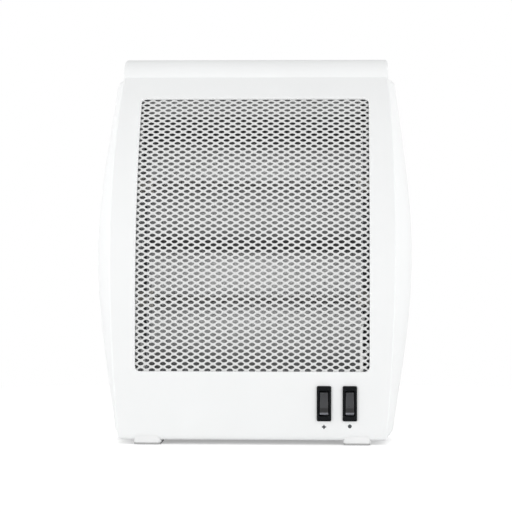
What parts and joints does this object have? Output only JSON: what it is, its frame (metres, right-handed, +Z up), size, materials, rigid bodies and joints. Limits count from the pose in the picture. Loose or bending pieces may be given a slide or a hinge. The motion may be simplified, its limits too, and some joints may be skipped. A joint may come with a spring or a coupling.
{
  "type": "electric bar heater",
  "caption": "Free-standing quartz bar heater: bowed white casing, curved mesh window over tubes in a trough reflector, side covers, rocker switches and low feet.",
  "frame": {"origin": "middle of the overall footprint, on the floor that the feet stand on", "axes": "+Z up, +X to the right of someone facing the heater's front, and the front with its window and switches faces -Y"},
  "size_m": [0.2912, 0.1376, 0.356],
  "materials": {
    "white_shell": "smooth white moulded shell, low gloss",
    "white_mesh": "white baked enamel on expanded steel mesh",
    "white_steel": "white powder coat on pressed steel",
    "polished_reflector": "bright rolled reflector sheet",
    "galvanised": "bare galvanised sheet steel",
    "quartz": "milky quartz glass tube",
    "heating_wire": "oxidised resistance wire",
    "ceramic": "unglazed steatite",
    "steel_hardware": "plated steel",
    "black_gloss": "glossy black switch body",
    "black_satin": "satin black rocker and plunger",
    "cream_plastic": "cream thermoset",
    "lead_sleeve": "white heat-proof sleeve over wire",
    "foot_white": "white moulded foot",
    "gland_grey": "dark grey bushing"
  },
  "bodies": {
    "root": {"front_panel": "white_shell", "top_cap": "white_shell", "side_cheek_right": "white_shell", "side_cheek_left": "white_shell", "grille": "white_mesh", "rear_cover": "white_steel", "base_plate": "white_steel", "reflector": "polished_reflector", "heat_shield": "galvanised", "reflector_end_right": "galvanised", "reflector_end_left": "galvanised", "quartz_tube_lower": "quartz", "quartz_tube_upper": "quartz", "heating_coil_lower": "heating_wire", "heating_coil_upper": "heating_wire", "ceramic_holder_lower_left": "ceramic", "ceramic_holder_lower_right": "ceramic", "ceramic_holder_upper_left": "ceramic", "ceramic_holder_upper_right": "ceramic", "terminal_lower_left": "steel_hardware", "terminal_lower_right": "steel_hardware", "terminal_upper_left": "steel_hardware", "terminal_upper_right": "steel_hardware", "switch_spade_left_feed": "steel_hardware", "switch_spade_left_load": "steel_hardware", "switch_spade_right_feed": "steel_hardware", "switch_spade_right_load": "steel_hardware", "tip_spring": "steel_hardware", "foot_screw_front_left": "steel_hardware", "foot_screw_front_right": "steel_hardware", "foot_screw_rear_left": "steel_hardware", "foot_screw_rear_right": "steel_hardware", "rear_screw_left_1": "steel_hardware", "rear_screw_left_2": "steel_hardware", "rear_screw_left_3": "steel_hardware", "rear_screw_right_1": "steel_hardware", "rear_screw_right_2": "steel_hardware", "rear_screw_right_3": "steel_hardware", "switch_housing_left": "black_gloss", "switch_housing_right": "black_gloss", "tip_switch_body": "cream_plastic", "terminal_block": "cream_plastic", "lead_lower_right": "lead_sleeve", "lead_upper_right": "lead_sleeve", "lead_left_jumper": "lead_sleeve", "lead_neutral": "lead_sleeve", "lead_supply": "lead_sleeve", "lead_switch_feed": "lead_sleeve", "foot_front_left": "foot_white", "foot_front_right": "foot_white", "foot_rear_left": "foot_white", "foot_rear_right": "foot_white", "cable_gland": "gland_grey"},
    "rocker_left": {"rocker_left": "black_satin"},
    "rocker_right": {"rocker_right": "black_satin"},
    "tip_plunger": {"tip_plunger": "black_satin"}
  },
  "joints": [
    {"name": "rocker_left_tilt", "type": "hinge", "parent": "root", "child": "rocker_left", "pos_m": [0.0642, -0.06202, 0.0375], "axis": [1, 0, 0], "range_deg": [0, 20]},
    {"name": "rocker_right_tilt", "type": "hinge", "parent": "root", "child": "rocker_right", "pos_m": [0.0874, -0.06202, 0.0375], "axis": [1, 0, 0], "range_deg": [0, 20]},
    {"name": "tip_plunger_drop", "type": "slide", "parent": "root", "child": "tip_plunger", "axis": [0, 0, -1], "range_m": [0, 0.005], "stiffness_N_per_m": 60, "springref_m": 0.012, "deforming": ["tip_spring"]}
  ]
}
